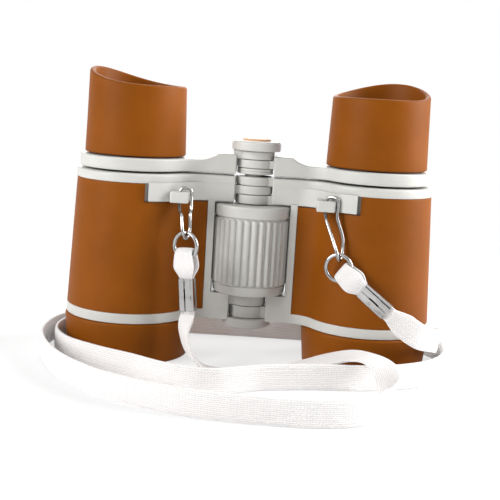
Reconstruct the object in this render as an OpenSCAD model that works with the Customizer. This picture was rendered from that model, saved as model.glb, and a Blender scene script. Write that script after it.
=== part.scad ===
// Toy binoculars: two hinged halves, a central focusing wheel, a sliding eyepiece
// bridge, and a white braided neck strap hung on two wire hooks.
// Millimetres, +Z up. The pair stands on its objective ends. The origin is on the
// floor under the centre hinge, and the lug side faces -Y.

/* [Layout] */
// Distance between the two barrel axes when opened flat
barrel_spacing = 72.4; // [71:0.2:76]
// Half thickness of the web that joins each barrel to the hinge
web_half = 4.8; // [4.4:0.1:5.2]
// Radius of the hollow between the web and the barrel
web_fillet = 8; // [6:0.5:9]
// Running clearance between pieces that turn or slide on each other
run_gap = 0.15; // [0.1:0.01:0.2]

/* [Objective sleeve] */
// Height of the brown objective sleeve
sleeve_h = 12.3; // [11.5:0.1:13]
// Outer radius of the sleeve where it stands on the floor
sleeve_r_low = 18.3; // [18:0.1:19]
// Outer radius of the sleeve below the grey band
sleeve_r_high = 19.4; // [19.2:0.1:20]
// Wall of the sleeve at its thinnest
sleeve_wall = 1.5; // [1.2:0.1:1.6]

/* [Barrel] */
// Radius of the grey band above the sleeve
band_r = 19; // [18.8:0.1:19.4]
// Height of the grey band
band_h = 3; // [2.5:0.1:3.5]
// Height of the brown cover between the band and the flange
cover_h = 38; // [37:0.5:39]
// Set-back of the cover from the band, at its foot
cover_step = 0.05; // [0:0.05:0.4]
// Outer radius of the cover at the flange
cover_r_high = 17; // [16.8:0.1:17.4]
// Thickness of the cover
cover_t = 1.4; // [1.2:0.1:1.5]
// Distance from the hinge to the cover's inner edges
cover_edge = 13.5; // [13.2:0.1:14]
// Radius of the flange on top of the barrel
flange_r = 17.1; // [17:0.1:17.6]
// Thickness of the flange
flange_h = 2.7; // [2.4:0.1:3]
// Radius of the tall block under the flange
block_r = 18.4; // [18:0.1:18.8]
// Drop of that block below the flange
block_h = 5.1; // [4.9:0.1:5.2]
// How far the block reaches past the barrel axis, towards the hinge
block_start = 6.3; // [5:0.1:7]
// Bore of the barrel
barrel_bore_r = 13.6; // [13.2:0.1:13.8]

/* [Strap lug] */
// Width of the strap lug
lug_w = 5.4; // [5:0.1:6]
// Height of the strap lug
lug_h = 3.2; // [2.8:0.1:3.4]
// Distance from the hinge to the middle of the lug
lug_x = 21.2; // [21:0.1:21.4]
// Reach of the lug in front of the hinge plane
lug_y = 16.2; // [15.9:0.1:16.5]
// Radius of the wire hole in the lug
lug_hole_r = 1.3; // [1.2:0.05:1.4]

/* [Hinge and focus] */
// Radius of the hinge column
knuckle_r = 5.4; // [5.1:0.1:5.5]
// Radius of the lower hinge pin
pin_r = 2.5; // [2.2:0.1:2.6]
// Radius of the focusing spindle
spindle_r = 3; // [2.7:0.1:3.1]
// Radius of the plug under the hinge
plug_r = 7.3; // [7:0.1:7.6]
// Radius of the focusing wheel over its ribs
wheel_r = 11.6; // [11.4:0.1:11.7]
// Number of ribs round the wheel
wheel_ribs = 32; // [28:1:34]
// Radius of one rib
rib_r = 0.8; // [0.7:0.05:0.9]
// Radius of the cap on the spindle
cap_r = 7.3; // [7:0.1:7.6]
// Height of the cap
cap_h = 2.9; // [2.6:0.1:3.2]
// Radius of the coloured disc on the cap
disc_r = 4.2; // [3.9:0.1:4.5]
// Travel of the eyepieces
focus_travel = 5; // [3:0.5:6]

/* [Eyepiece] */
// Thickness of the eyepiece arm round the tube
arm_h = 3.7; // [3.4:0.1:4]
// Radius of the eyepiece arm
arm_r = 16.3; // [16:0.1:16.6]
// Extra height of the arm beside the hinge
arm_rise = 2.1; // [1.9:0.1:2.3]
// Gap between the flange and the arm when focused down
bridge_gap = 0.6; // [0.5:0.05:0.8]
// Outer radius of the eyepiece tube
tube_r = 12.2; // [12:0.1:12.4]
// Wall of the eyepiece tube
tube_wall = 1.4; // [1.2:0.1:1.6]
// Outer radius of the eyecup at its foot
cup_r_low = 15.05; // [14.8:0.05:15.3]
// Outer radius of the eyecup at its rim
cup_r_high = 14.4; // [14.2:0.1:14.6]
// Height of the low side of the eyecup
cup_h = 20.5; // [19.5:0.1:21.5]
// Extra height of the eyecup's wing
cup_wing = 4.7; // [4:0.1:5.5]
// Direction of the left wing, measured from +X towards the back
left_wing_angle = 160; // [100:1:200]
// Direction of the right wing, measured from +X towards the back
right_wing_angle = 64; // [0:1:90]

/* [Strap] */
// Width of the braided strap
strap_w = 7.4; // [7:0.1:7.6]
// Thickness of the braided strap
strap_t = 1.2; // [1:0.1:1.2]
// Thickness of one layer of the strap where it is doubled over a ring
loop_t = 0.85; // [0.8:0.05:0.9]
// Mean radius of a strap ring
ring_r = 3.8; // [3.7:0.05:3.9]
// Wire radius of a strap ring
ring_wire_r = 0.6; // [0.5:0.05:0.65]
// Wire radius of a hook
hook_wire_r = 0.5; // [0.4:0.05:0.55]
// Length of a crimp
crimp_len = 9.4; // [9:0.1:9.8]
// Width of a crimp
crimp_w = 5; // [4.9:0.1:5.2]
// Thickness of a crimp
crimp_t = 3; // [2.9:0.1:3.2]
// Wall of a crimp
crimp_wall = 0.35; // [0.3:0.05:0.38]

/* [Hidden] */
$fn = 96;
eps = 0.01;
ax = barrel_spacing / 2;
cover_r_low = band_r - cover_step;

// Heights up the barrel
band_z = sleeve_h + 0.1;
cover_z = band_z + band_h;
flange_z = cover_z + cover_h;
barrel_top = flange_z + flange_h;
block_z = flange_z - block_h;
web_end = knuckle_r + 0.5;

// Fits of the pieces on the barrel
fit_gap = 0.15;
seat_r = min(sleeve_r_low, sleeve_r_high) - sleeve_wall - fit_gap;
tube_foot = 1.5;
lens_seat_z = 9;
lens_bore_r = seat_r - 1.8;
notch_gap = 1.1;

// Hinge heights: the wheel fills the space between the lower and the upper knuckles
knuckle_gap = 0.15;
wheel_z = band_z + 8.5;
wheel_top = block_z - 0.6;
lower_top = wheel_z - 0.4;
lower_bottom = band_z + 0.9;
lower_split = (lower_top + lower_bottom) / 2;
upper_bottom = wheel_top + 0.3;
upper_third = (barrel_top - upper_bottom) / 3;
plug_z = lower_bottom - 3;
well_r = wheel_r + 0.7;
pin_top = wheel_z + 8;

// Eyepiece heights
arm_z = barrel_top + bridge_gap;
arm_top = arm_z + arm_h;
cup_z = arm_top + 0.4;
cup_rim = cup_z + cup_h;
tube_top = cup_z + cup_h / 2 - 0.1;
tube_bottom = barrel_top - focus_travel - 9;
guide_z = barrel_top - 6;
lens_ledge = tube_top - 4.5;
collar_z = arm_z + 0.2;
collar_h = 1.7;
arm_knuckle_h = 2.4;
right_knuckle_z = collar_z + collar_h + knuckle_gap;
left_knuckle_z = right_knuckle_z + arm_knuckle_h + knuckle_gap;
cap_z = left_knuckle_z + arm_knuckle_h + knuckle_gap;
disc_h = 1.3;
disc_depth = 0.6;

// Colours
brown = [0.55, 0.30, 0.09];
grey = [0.82, 0.83, 0.80];
black = [0.08, 0.08, 0.09];
glass = [0.75, 0.86, 0.90];
steel = [0.80, 0.81, 0.83];
white = [0.96, 0.95, 0.94];
orange = [0.80, 0.45, 0.22];

// Plan of one half: the barrel circle, the web that reaches to x = -end_x, and the
// hollows of radius f that join them. The left barrel stands at x = -ax.
module half_plan(r, h, f, end_x) {
    run = sqrt(pow(r + f, 2) - pow(h + f, 2));
    translate([-ax, 0]) circle(r);
    translate([-ax, -h]) square([ax - end_x, 2 * h]);
    for (side = [-1, 1]) difference() {
        polygon([[-ax, 0], [run - ax, 0], [run - ax, side * (h + f)]]);
        translate([run - ax, side * (h + f)]) circle(f);
    }
}

module slab(z, height) translate([0, 0, z]) linear_extrude(height) children();

module rod(r, z0, z1) translate([0, 0, z0]) cylinder(r = r, h = z1 - z0);

// A barrel's own hinge knuckles, each with the tongue that joins it to the web
module knuckles(spans) {
    for (span = spans) {
        rod(knuckle_r, span[0], span[1]);
        translate([-web_end - eps, -knuckle_r * 0.66, span[0]])
            cube([web_end, 2 * knuckle_r * 0.66, span[1] - span[0]]);
    }
}

left_spans = [
    [upper_bottom + upper_third + knuckle_gap, upper_bottom + 2 * upper_third],
    [lower_split + knuckle_gap, lower_top]
];
right_spans = [
    [upper_bottom, upper_bottom + upper_third],
    [upper_bottom + 2 * upper_third + knuckle_gap, barrel_top],
    [lower_bottom, lower_split]
];

module barrel_outside() {
    translate([-ax, 0, 0]) rotate_extrude() polygon([
        [0, tube_foot], [seat_r, tube_foot], [seat_r, band_z + eps],
        [band_r - cover_t, band_z + eps],
        [cover_r_low - cover_t - fit_gap, cover_z], [cover_r_high - cover_t - fit_gap, flange_z + eps],
        [0, flange_z + eps]
    ]);
    slab(band_z, band_h) half_plan(band_r, web_half, web_fillet, web_end);
    slab(flange_z, flange_h) half_plan(flange_r, web_half, web_fillet, web_end);
    slab(block_z, block_h + eps) intersection() {
        half_plan(block_r, web_half, web_fillet, web_end);
        translate([block_start - ax, -block_r]) square([ax, 2 * block_r]);
    }
    translate([-ax, cover_t + fit_gap - web_half, band_z])
        cube([ax - web_end, 2 * (web_half - cover_t - fit_gap), flange_z - band_z]);
    translate([fit_gap - cover_edge, -web_half, band_z])
        cube([cover_edge - fit_gap - web_end, 2 * web_half, flange_z - band_z]);
    translate([-lug_x - lug_w / 2, -lug_y, block_z])
        cube([lug_w, lug_y - web_half, lug_h]);
}

module barrel_inside() {
    translate([-ax, 0, 0]) {
        rod(lens_bore_r, tube_foot - eps, lens_seat_z);
        rod(barrel_bore_r, lens_seat_z - eps, guide_z);
        rod(tube_r + run_gap, guide_z - eps, barrel_top + eps);
    }
    rod(well_r, lower_top + 0.15, upper_bottom - 0.05);
    translate([-lug_x, lug_hole_r + 1.3 - lug_y, 0]) rod(lug_hole_r, block_z - eps, block_z + lug_h + eps);
}

// One half of the body: barrel, web, hinge knuckles and strap lug
module barrel(spans) {
    difference() {
        union() {
            difference() {
                barrel_outside();
                barrel_inside();
            }
            knuckles(spans);
        }
        rod(pin_r + run_gap, plug_z, lower_top + eps);
        rod(plug_r + fit_gap, plug_z, lower_bottom - eps);
        rod(spindle_r + run_gap, upper_bottom - eps, barrel_top + eps);
    }
}

module left_barrel() { color(grey) barrel(left_spans); }
module right_barrel() { color(grey) mirror([1, 0, 0]) barrel(right_spans); }

// Outline of the cover at barrel radius r, as points from the front inner edge round
// the barrel to the back inner edge, inset by d
function cover_outline(r, d, steps) = let(
    rr = r - d, h = web_half - d, f = web_fillet + d,
    run = sqrt(pow(rr + f, 2) - pow(h + f, 2)),
    turn = atan2(h + f, run),
    cut = run - ax > -cover_edge,
    first = cut ? acos((ax - cover_edge - run) / f) : 90,
    front = concat(
        [[-cover_edge, f * sin(first) - h - f]],
        [for (i = [0:6]) let(a = first + (180 - turn - first) * (cut ? (i + 1) / 7 : i / 6))
            [run - ax + f * cos(a), -(h + f) + f * sin(a)]],
        [for (i = [1:steps]) let(a = -turn - (180 - turn) * i / steps)
            [rr * cos(a) - ax, rr * sin(a)]]
    )
) concat(front, [for (i = [len(front) - 2:-1:0]) [front[i][0], -front[i][1]]]);

function cover_ring(z, steps) = let(
    r = cover_r_low + (cover_r_high - cover_r_low) * (z - cover_z) / cover_h,
    outer = cover_outline(r, 0, steps), inner = cover_outline(r, cover_t, steps)
) concat([for (p = outer) [p[0], p[1], z]], [for (i = [len(inner) - 1:-1:0]) [inner[i][0], inner[i][1], z]]);

// Faces of a wall that rises through rings of n points, with both ends closed by
// triangles that join the outer and the inner outline
function wall_faces(levels, n) = concat(
    [for (k = [0:levels - 2], i = [0:n - 1]) each [
        [k * n + i, (k + 1) * n + i, k * n + (i + 1) % n],
        [k * n + (i + 1) % n, (k + 1) * n + i, (k + 1) * n + (i + 1) % n]]],
    [for (i = [0:n / 2 - 2]) each [
        [i, i + 1, n - 1 - i], [i + 1, n - 2 - i, n - 1 - i]]],
    let(t = (levels - 1) * n) [for (i = [0:n / 2 - 2]) each [
        [t + i, t + n - 1 - i, t + i + 1], [t + i + 1, t + n - 1 - i, t + n - 2 - i]]]
);

// Brown grip shell round the barrel and the web, notched for the block
module cover() {
    levels = 5;
    steps = 22;
    low = cover_z + 0.05;
    high = flange_z - 0.05;
    rings = [for (k = [0:levels - 1]) cover_ring(low + (high - low) * k / (levels - 1), steps)];
    difference() {
        polyhedron([for (ring = rings) each ring], wall_faces(levels, len(rings[0])), convexity = 6);
        translate([block_start - ax - notch_gap, -2 * band_r, block_z - 0.3])
            cube([ax, 4 * band_r, cover_h]);
    }
}

module left_cover() { color(brown) cover(); }
module right_cover() { color(brown) mirror([1, 0, 0]) cover(); }

// Brown sleeve pressed over the objective end, with a lip under the barrel
module sleeve() {
    lip = 1.2;
    edge = 0.7;
    translate([-ax, 0, 0]) rotate_extrude() difference() {
        union() {
            polygon([
                [lens_bore_r + 0.3, 0], [sleeve_r_low - edge, 0], [sleeve_r_low, edge],
                [sleeve_r_high, sleeve_h - edge], [sleeve_r_high - edge, sleeve_h], [lens_bore_r + 0.3, sleeve_h]
            ]);
            translate([sleeve_r_low - edge, edge]) circle(edge);
        }
        translate([0, lip]) square([seat_r + fit_gap, sleeve_h]);
    }
}

module left_sleeve() { color(brown) sleeve(); }
module right_sleeve() { color(brown) mirror([1, 0, 0]) sleeve(); }

// Biconvex lens: two spherical caps of height bulge on a rim of thickness rim
module lens(r, rim, bulge) {
    ball = (r * r + bulge * bulge) / (2 * bulge);
    rotate_extrude() intersection() {
        translate([0, -rim / 2 - bulge]) square([r, rim + 2 * bulge]);
        translate([0, rim / 2 + bulge - ball]) circle(ball, $fn = arc_fn);
        translate([0, ball - rim / 2 - bulge]) circle(ball, $fn = arc_fn);
    }
}

// Height of a lens face over its rim, at distance d from its axis
function sag(r, d, bulge) = bulge * (1 - pow(d / r, 2));

arc_fn = 720;
lens_rim = 1.2;
lens_bulge = 1;
objective_z = lens_seat_z - fit_gap - lens_rim / 2;
module objective() translate([-ax, 0, objective_z]) lens(lens_bore_r - fit_gap, lens_rim, lens_bulge);
module left_objective() { color(glass) objective(); }
module right_objective() { color(glass) mirror([1, 0, 0]) objective(); }

// Black ring that holds the objective in its seat
module lens_ring() {
    top = objective_z - lens_rim / 2 - fit_gap - sag(lens_bore_r - fit_gap, lens_bore_r - 1.8, lens_bulge);
    translate([-ax, 0, 0]) difference() {
        rod(lens_bore_r - fit_gap, tube_foot + 1, top);
        rod(lens_bore_r - 1.8, tube_foot, top + eps);
        translate([0, 0, tube_foot + 1 - eps]) cylinder(r1 = lens_bore_r - 0.7, r2 = lens_bore_r - 1.8, h = 1.5);
    }
}

module left_lens_ring() { color(black) lens_ring(); }
module right_lens_ring() { color(black) mirror([1, 0, 0]) lens_ring(); }

// Eyepiece arm: the plate round the tube, its raised end and its knuckle
module arm(knuckle_z) {
    ramp_r = 10;
    ramp_x = 17;
    difference() {
        union() {
            slab(arm_z, arm_h) half_plan(arm_r, web_half, web_fillet, web_end);
            difference() {
                translate([-ramp_x, -web_half, arm_top - eps]) cube([ramp_x - web_end, 2 * web_half, arm_rise]);
                translate([-ramp_x, web_half + 1, arm_top + ramp_r]) rotate([90, 0, 0])
                    cylinder(r = ramp_r, h = 2 * web_half + 2);
            }
            knuckles([[knuckle_z, min(knuckle_z + arm_knuckle_h, cap_z)]]);
        }
        rod(spindle_r + run_gap, arm_z, cap_z + eps);
        translate([-ax, 0, 0]) rod(tube_r + 0.05, arm_z - eps, arm_top + eps);
    }
}

module left_arm() { color(grey) arm(left_knuckle_z); }
module right_arm() { color(grey) mirror([1, 0, 0]) arm(right_knuckle_z); }

// Black tube that carries the ocular and slides in the barrel
module eye_tube() {
    translate([-ax, 0, 0]) difference() {
        union() {
            rod(tube_r, tube_bottom, tube_top);
            rod(tube_r + 1.5, arm_top + 0.02, cup_z - 0.02);
        }
        rod(tube_r - tube_wall, lens_ledge, tube_top + eps);
        rod(tube_r - tube_wall - 1, tube_bottom - eps, lens_ledge + eps);
    }
}

module left_eye_tube() { color(black) eye_tube(); }
module right_eye_tube() { color(black) mirror([1, 0, 0]) eye_tube(); }

ocular_z = lens_ledge + fit_gap + lens_rim / 2 + lens_bulge * 0.35;
module ocular() translate([-ax, 0, ocular_z])
    lens(tube_r - tube_wall - fit_gap, lens_rim, lens_bulge * 0.6);
module left_ocular() { color(glass) ocular(); }
module right_ocular() { color(glass) mirror([1, 0, 0]) ocular(); }

// Black ring that holds the ocular
module ocular_ring() {
    foot = ocular_z + lens_rim / 2 + fit_gap
        + sag(tube_r - tube_wall - fit_gap, tube_r - tube_wall - 1.6, lens_bulge * 0.6);
    translate([-ax, 0, 0]) difference() {
        rod(tube_r - tube_wall - fit_gap, foot, tube_top - 0.2);
        rod(tube_r - tube_wall - 1.6, foot - eps, tube_top);
    }
}

module left_ocular_ring() { color(black) ocular_ring(); }
module right_ocular_ring() { color(black) mirror([1, 0, 0]) ocular_ring(); }

// Brown eyecup: a tapered tube whose rim is level on one half and rises to a wing on
// the other, towards +X before it is turned
module eyecup() {
    wall = 1.5;
    top = cup_rim + cup_wing;
    slope = atan(cup_wing / cup_r_high);
    span = 2 * cup_r_low;
    difference() {
        rotate_extrude() polygon([
            [tube_r + run_gap, cup_z], [cup_r_low, cup_z], [cup_r_high, cup_rim], [cup_r_high, top],
            [cup_r_high - wall, top], [cup_r_high - wall, cup_rim],
            [tube_r - 0.9, tube_top + 0.1], [tube_r + run_gap, tube_top + 0.1]
        ]);
        translate([-span, -span, cup_rim]) cube([span, 2 * span, span]);
        translate([0, 0, cup_rim]) rotate([0, -slope, 0]) translate([-1, -span, 0]) cube([2 * span, 2 * span, span]);
    }
}

module left_eyecup() { color(brown) translate([-ax, 0, 0]) rotate(left_wing_angle) eyecup(); }
module right_eyecup() { color(brown) translate([ax, 0, 0]) rotate(right_wing_angle) eyecup(); }

// Spindle that the wheel screws up and down, with the collar under both arm knuckles
module focus_spindle() {
    groove = 0.3;
    color(grey) difference() {
        union() {
            rod(spindle_r, pin_top + 1, cap_z + cap_h - disc_depth - 0.1);
            rod(knuckle_r, collar_z, collar_z + collar_h);
        }
        translate([0, 0, collar_z + collar_h / 2]) rotate_extrude()
            translate([knuckle_r, 0]) circle(groove);
    }
}

module spindle_cap() {
    edge = 0.8;
    color(grey) difference() {
        rotate_extrude() {
            translate([0, cap_z]) square([cap_r, cap_h - edge]);
            translate([0, cap_z]) square([cap_r - edge, cap_h]);
            translate([cap_r - edge, cap_z + cap_h - edge]) circle(edge);
        }
        rod(spindle_r + 0.05, cap_z - eps, cap_z + cap_h - disc_depth);
        rod(disc_r + 0.05, cap_z + cap_h - disc_depth - eps, cap_z + cap_h + eps);
    }
}

module cap_disc() {
    edge = 0.3;
    foot = cap_z + cap_h - disc_depth + 0.02;
    color(orange) rotate_extrude() {
        translate([0, foot]) square([disc_r, disc_h - edge]);
        translate([0, foot]) square([disc_r - edge, disc_h]);
        translate([disc_r - edge, foot + disc_h - edge]) circle(edge);
    }
}

// Ribbed wheel with the pin's bearing below and the spindle's thread bore above
module focus_wheel() {
    core_r = wheel_r - rib_r;
    rim_low = 3.2;
    rim_high = 3.5;
    rib_h = wheel_top - rim_high - wheel_z - rim_low - 0.4;
    color(grey) difference() {
        union() {
            rotate_extrude() polygon([
                [0, wheel_z], [core_r + 0.1, wheel_z], [core_r + 0.4, wheel_z + rim_low],
                [core_r, wheel_z + rim_low], [core_r, wheel_top - rim_high],
                [wheel_r, wheel_top - rim_high], [wheel_r, wheel_top - 0.4], [wheel_r - 0.4, wheel_top],
                [0, wheel_top]
            ]);
            slab(wheel_z + rim_low - 0.2, rib_h) for (i = [0:wheel_ribs - 1])
                rotate(i * 360 / wheel_ribs) translate([core_r, 0]) circle(rib_r);
        }
        rod(pin_r + run_gap, wheel_z - eps, pin_top + 0.5);
        rod(spindle_r + run_gap, pin_top + 0.4, wheel_top + eps);
    }
}

module hinge_pin() { color(steel) rod(pin_r, plug_z + 0.8, pin_top); }

module hinge_plug() {
    edge = 0.7;
    color(grey) difference() {
        rotate_extrude() {
            translate([0, plug_z + edge]) square([plug_r, lower_bottom - knuckle_gap - plug_z - edge]);
            translate([0, plug_z]) square([plug_r - edge, 2 * edge]);
            translate([plug_r - edge, plug_z + edge]) circle(edge);
        }
        rod(pin_r + 0.02, plug_z + 0.78, lower_bottom);
    }
}

// Strap and wire. A point on a route is found by a cubic that passes through its
// neighbours, and a section is carried along the route.
function unit(v) = v / norm(v);
function spline(a, b, c, d, t) = 0.5 * (2 * b + (c - a) * t + (2 * a - 5 * b + 4 * c - d) * t * t
    + (3 * b - a - 3 * c + d) * t * t * t);
function pick(list, i, closed) = list[closed ? (i + len(list)) % len(list) : max(0, min(len(list) - 1, i))];
function smooth(list, steps, closed) = let(n = len(list)) concat(
    [for (i = [0:n - (closed ? 1 : 2)], k = [0:steps - 1])
        spline(pick(list, i - 1, closed), pick(list, i, closed), pick(list, i + 1, closed),
            pick(list, i + 2, closed), k / steps)],
    closed ? [] : [list[n - 1]]);
function tangent(list, i, closed) = unit(pick(list, i + 1, closed) - pick(list, i - 1, closed));

// Faces of a tube of n-sided rings, closed on itself or capped at both ends
function tube_faces(rings, n, closed) = concat(
    [for (k = [0:rings - (closed ? 1 : 2)], i = [0:n - 1]) let(a = k * n, b = ((k + 1) % rings) * n, j = (i + 1) % n)
        each [[a + i, a + j, b + i], [a + j, b + j, b + i]]],
    closed ? [] : [for (i = [1:n - 2]) each [
        [0, i + 1, i], let(e = (rings - 1) * n) [e, e + i, e + i + 1]]]);

// A flat strip along path, turned so that its width lies along each across vector
module strip(path, across, widths, t) {
    n = 8;
    edge = 0.35 * t;
    rings = [for (i = [0:len(path) - 1]) let(
        go = tangent(path, i, false), side = across[i],
        w = unit(side - (side * go) * go), u = cross(go, w), a = widths[i] / 2, b = t / 2)
        each [for (p = [[a, b - edge], [a - edge, b], [edge - a, b], [-a, b - edge],
            [-a, edge - b], [edge - a, -b], [a - edge, -b], [a, edge - b]]) path[i] + p[0] * w + p[1] * u]];
    polyhedron(rings, tube_faces(len(path), n, false), convexity = 10);
}

// A round wire bent into a closed loop
module wire_loop(path, r) {
    n = 8;
    rings = [for (i = [0:len(path) - 1]) let(
        go = tangent(path, i, true), up = abs(go[1]) > 0.9 ? [1, 0, 0] : [0, 1, 0],
        w = unit(cross(go, up)), u = cross(go, w))
        each [for (k = [0:n - 1]) path[i] + r * (cos(k * 360 / n) * w + sin(k * 360 / n) * u)]];
    polyhedron(rings, tube_faces(len(path), n, true), convexity = 10);
}

// Hook wire: up through the lug's hole, over the wall on its +X side and down to an
// eye that stands square to the ring. Written from the top of the lug's hole.
hole_y = lug_hole_r + 1.3 - lug_y;
lug_top = block_z + lug_h;
// lean moves the eye along X, ahead moves the outer leg clear of the block, and drop is
// the depth of the eye's middle.
function hook_route(lean, ahead, drop) = let(out = lug_w / 2 + hook_wire_r + 0.25) [
    [0, 0, -3.6], [0, 0, -1.6], [0.35, 0, 0.5], [out / 2, -ahead / 2, 1.1], [out - 0.2, -ahead, 0.5],
    [out, -ahead - 0.1, -1.6], [out + 0.1, -max(1, ahead + 0.3), -5], [2.9 + lean, -2.7, 4.2 - drop],
    [3.1 + lean, -3.4, -drop], [2.5 + lean, -4.5, -2 - drop], [1.9 + lean, -5.8, -2 - drop],
    [1.3 + lean, -6.9, -drop], [0.9 + lean / 2, -5, 4.2 - drop], [0.4, -2.2, -5.8]
];
right_hook_lean = 2.4;
left_hook_lean = 0.6;
right_hook_ahead = 1.6;
left_hook_ahead = 0;
right_hook_drop = 14.2;
left_hook_drop = 10.6;
function hook_eye(lean, drop) = [2.2 + lean, -5.15, -drop - 0.6];

module hook(side, lean, ahead, drop) translate([side * lug_x, hole_y, lug_top])
    wire_loop(smooth(hook_route(lean, ahead, drop), 3, true), hook_wire_r);
module right_hook() { color(steel) hook(1, right_hook_lean, right_hook_ahead, right_hook_drop); }
module left_hook() { color(steel) hook(-1, left_hook_lean, left_hook_ahead, left_hook_drop); }

// Rings hang in the eyes of the hooks, each turned about the upright through its top
function ring_centre(side, lean, drop) = let(eye = hook_eye(lean, drop))
    [side * lug_x + eye[0], hole_y + eye[1], lug_top + eye[2] - ring_r];
right_ring_at = ring_centre(1, right_hook_lean, right_hook_drop);
left_ring_at = ring_centre(-1, left_hook_lean, left_hook_drop);
right_ring_turn = -20;
left_ring_turn = -28;

module strap_ring(at, turn) {
    translate(at) rotate([0, 0, turn]) rotate([90, 0, 0])
        rotate_extrude() translate([ring_r, 0]) circle(ring_wire_r);
}

module right_ring() { color(steel) strap_ring(right_ring_at, right_ring_turn); }
module left_ring() { color(steel) strap_ring(left_ring_at, left_ring_turn); }

// Directions in which the strap leaves the rings, and the crimps on it
right_pull = 36;
left_pull = 84;
crimp_start = ring_r + 5.6;

// Places a shape drawn along +X, with its width along Z, on the line from a ring
module on_line(at, turn, pull) translate(at) rotate([0, 0, turn]) rotate([0, pull, 0]) children();

// The strap's end, doubled through the ring and back into the crimp
module strap_loop() {
    over = ring_wire_r + 0.35 + loop_t / 2;
    inside = crimp_start + 3;
    tuck = loop_t / 2 + 0.06;
    half = [[inside, tuck], [crimp_start, tuck], [crimp_start - 3, over * 0.95], [ring_r, over], [1.9, over * 0.9]];
    path = concat([for (p = half) [p[0], p[1], 0]], [[0.9, 0, 0]],
        [for (i = [len(half) - 1:-1:0]) [half[i][0], -half[i][1], 0]]);
    neck = crimp_w - 2 * crimp_wall - 0.2;
    side = [neck, neck, strap_w * 0.9, strap_w * 0.86, strap_w * 0.76];
    widths = concat(side, [strap_w * 0.74], [for (i = [len(side) - 1:-1:0]) side[i]]);
    strip(smooth(path, 3, false), [for (i = [0:3 * (len(path) - 1)]) [0, 0, 1]], smooth(widths, 3, false), loop_t);
}

// Folded metal crimp with an open seam along its front
module crimp() {
    seam = 0.5;
    round_r = 0.8;
    rotate([0, 90, 0]) translate([0, 0, crimp_start]) linear_extrude(crimp_len) difference() {
        rounded_rect(crimp_w, crimp_t, round_r);
        rounded_rect(crimp_w - 2 * crimp_wall, crimp_t - 2 * crimp_wall, round_r - crimp_wall);
        translate([-seam / 2, -crimp_t]) square([seam, crimp_t]);
    }
}

module rounded_rect(w, h, r) {
    square([w - 2 * r, h], center = true);
    square([w, h - 2 * r], center = true);
    for (x = [-1, 1], y = [-1, 1]) translate([x * (w / 2 - r), y * (h / 2 - r)]) circle(r);
}

module right_strap_loop() { color(white) on_line(right_ring_at, right_ring_turn, right_pull) strap_loop(); }
module left_strap_loop() { color(white) on_line(left_ring_at, left_ring_turn, left_pull) strap_loop(); }
module right_crimp() { color(steel) on_line(right_ring_at, right_ring_turn, right_pull) crimp(); }
module left_crimp() { color(steel) on_line(left_ring_at, left_ring_turn, left_pull) crimp(); }

function along(at, turn, pull, s) = at + s * [cos(turn) * cos(pull), sin(turn) * cos(pull), -sin(pull)];
function across_line(turn, pull) = [cos(turn) * sin(pull), sin(turn) * sin(pull), cos(pull)];
left_end = along(left_ring_at, left_ring_turn, left_pull, crimp_start + crimp_len - 3);
right_end = along(right_ring_at, right_ring_turn, right_pull, crimp_start + crimp_len - 3);

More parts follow.
